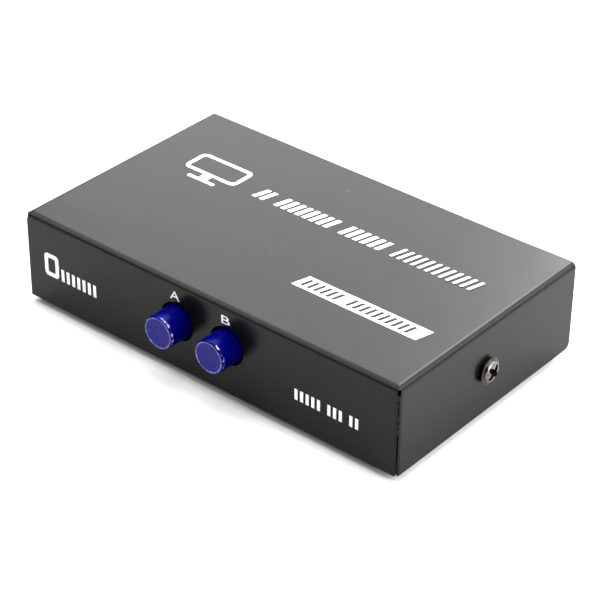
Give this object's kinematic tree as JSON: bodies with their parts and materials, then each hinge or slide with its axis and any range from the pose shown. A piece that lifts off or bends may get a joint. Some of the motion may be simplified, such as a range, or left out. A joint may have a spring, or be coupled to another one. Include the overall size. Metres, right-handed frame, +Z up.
{
  "type": "video switch box",
  "caption": "Flat black steel desktop switch box with interlocked round blue push buttons on the front and D-shaped video sockets at the rear.",
  "frame": {"origin": "middle of the whole box's footprint, push buttons and jackscrews included, in the plane of the feet's undersides", "axes": "+Z up, -Y the way the push buttons face, +Y the way the sockets face, +X to the right seen from the front"},
  "size_m": [0.1348, 0.0882, 0.029],
  "materials": {
    "black_powder_coat": "fine black powder coat, semi-matte",
    "blue_cap_plastic": "satin moulded blue plastic",
    "white_acetal": "smooth natural white acetal",
    "black_phenolic": "moulded black phenolic",
    "spring_steel": "drawn spring wire",
    "zinc_plate": "bright zinc plate",
    "nickel_plate": "nickel plate, slightly dulled",
    "tin_plate": "bright tin plate",
    "blue_socket_plastic": "moulded blue plastic",
    "circuit_laminate": "green solder mask over glass laminate",
    "black_rubber": "matte black rubber"
  },
  "bodies": {
    "case": {"base_chassis": "black_powder_coat", "board_screw_left": "zinc_plate", "board_screw_right": "zinc_plate", "board_standoff_left": "zinc_plate", "board_standoff_right": "zinc_plate", "circuit_board": "circuit_laminate", "foot_front_left": "black_rubber", "foot_front_right": "black_rubber", "foot_rear_left": "black_rubber", "foot_rear_right": "black_rubber", "jackscrew_input_a_left": "nickel_plate", "jackscrew_input_a_right": "nickel_plate", "jackscrew_input_b_left": "nickel_plate", "jackscrew_input_b_right": "nickel_plate", "jackscrew_output_left": "nickel_plate", "jackscrew_output_right": "nickel_plate", "latch_frame": "zinc_plate", "latch_spring": "spring_steel", "return_spring_a": "spring_steel", "return_spring_b": "spring_steel", "side_screw_left": "nickel_plate", "side_screw_right": "nickel_plate", "socket_body_input_a": "blue_socket_plastic", "socket_body_input_b": "blue_socket_plastic", "socket_body_output": "blue_socket_plastic", "socket_shell_input_a": "tin_plate", "socket_shell_input_b": "tin_plate", "socket_shell_output": "tin_plate", "switch_housing_a": "black_phenolic", "switch_housing_b": "black_phenolic", "top_cover": "black_powder_coat"},
    "button_a": {"button_cap_a": "blue_cap_plastic", "plunger_a": "white_acetal"},
    "button_b": {"button_cap_b": "blue_cap_plastic", "plunger_b": "white_acetal"},
    "latch": {"latch_bar": "zinc_plate"}
  },
  "joints": [
    {"name": "button_a_press", "type": "slide", "parent": "case", "child": "button_a", "axis": [0, 1, 0], "range_m": [0, 0.0045], "stiffness_N_per_m": 300, "springref_m": -0.004, "deforming": ["return_spring_a"]},
    {"name": "button_b_press", "type": "slide", "parent": "case", "child": "button_b", "axis": [0, 1, 0], "range_m": [0, 0.0045], "stiffness_N_per_m": 300, "springref_m": -0.004, "deforming": ["return_spring_b"]},
    {"name": "latch_slide", "type": "slide", "parent": "case", "child": "latch", "axis": [1, 0, 0], "range_m": [0, 0.00135], "deforming": ["latch_spring"]}
  ],
  "couplings": [
    {"joint": "latch_slide", "follows": "button_a_press", "ratio": 0.3}
  ]
}
